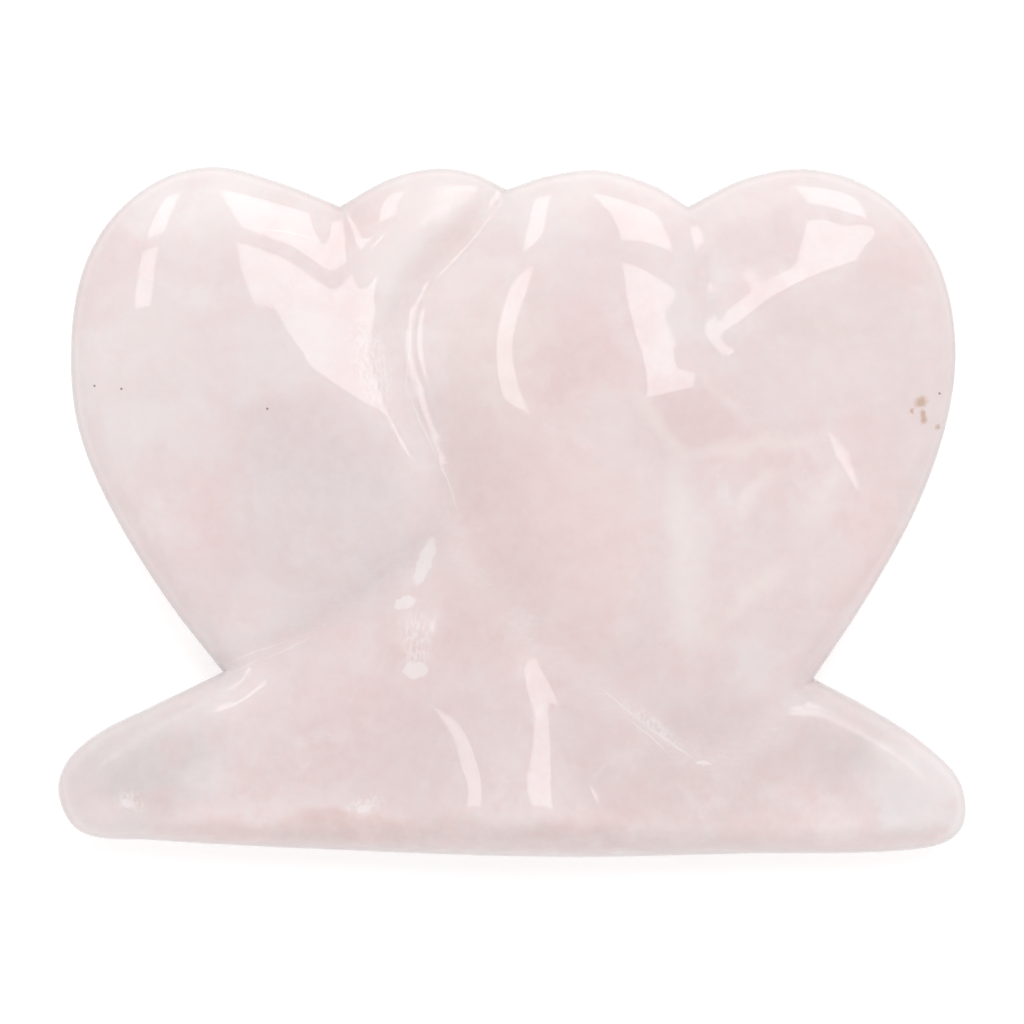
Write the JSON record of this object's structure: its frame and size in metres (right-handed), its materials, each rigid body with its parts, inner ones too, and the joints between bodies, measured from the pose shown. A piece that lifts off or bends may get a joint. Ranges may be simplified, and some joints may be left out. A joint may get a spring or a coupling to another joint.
{
  "type": "gua sha scraper",
  "caption": "Polished rose quartz gua sha scraper shaped as two overlapping hearts on a flared base, used to stroke the skin in face and body massage.",
  "frame": {"origin": "centre of the outline's box, on the flat back face that the stone rests on", "axes": "+X along the long edge of the base, towards the heart that lies in front; +Y in the plane of the plate, from the base to the lobes of the hearts; +Z out of the carved front face"},
  "size_m": [0.086, 0.0654, 0.012],
  "materials": {
    "rose_quartz": "polished, slightly translucent"
  },
  "bodies": {
    "root": {"stone_body": "rose_quartz"}
  },
  "joints": []
}
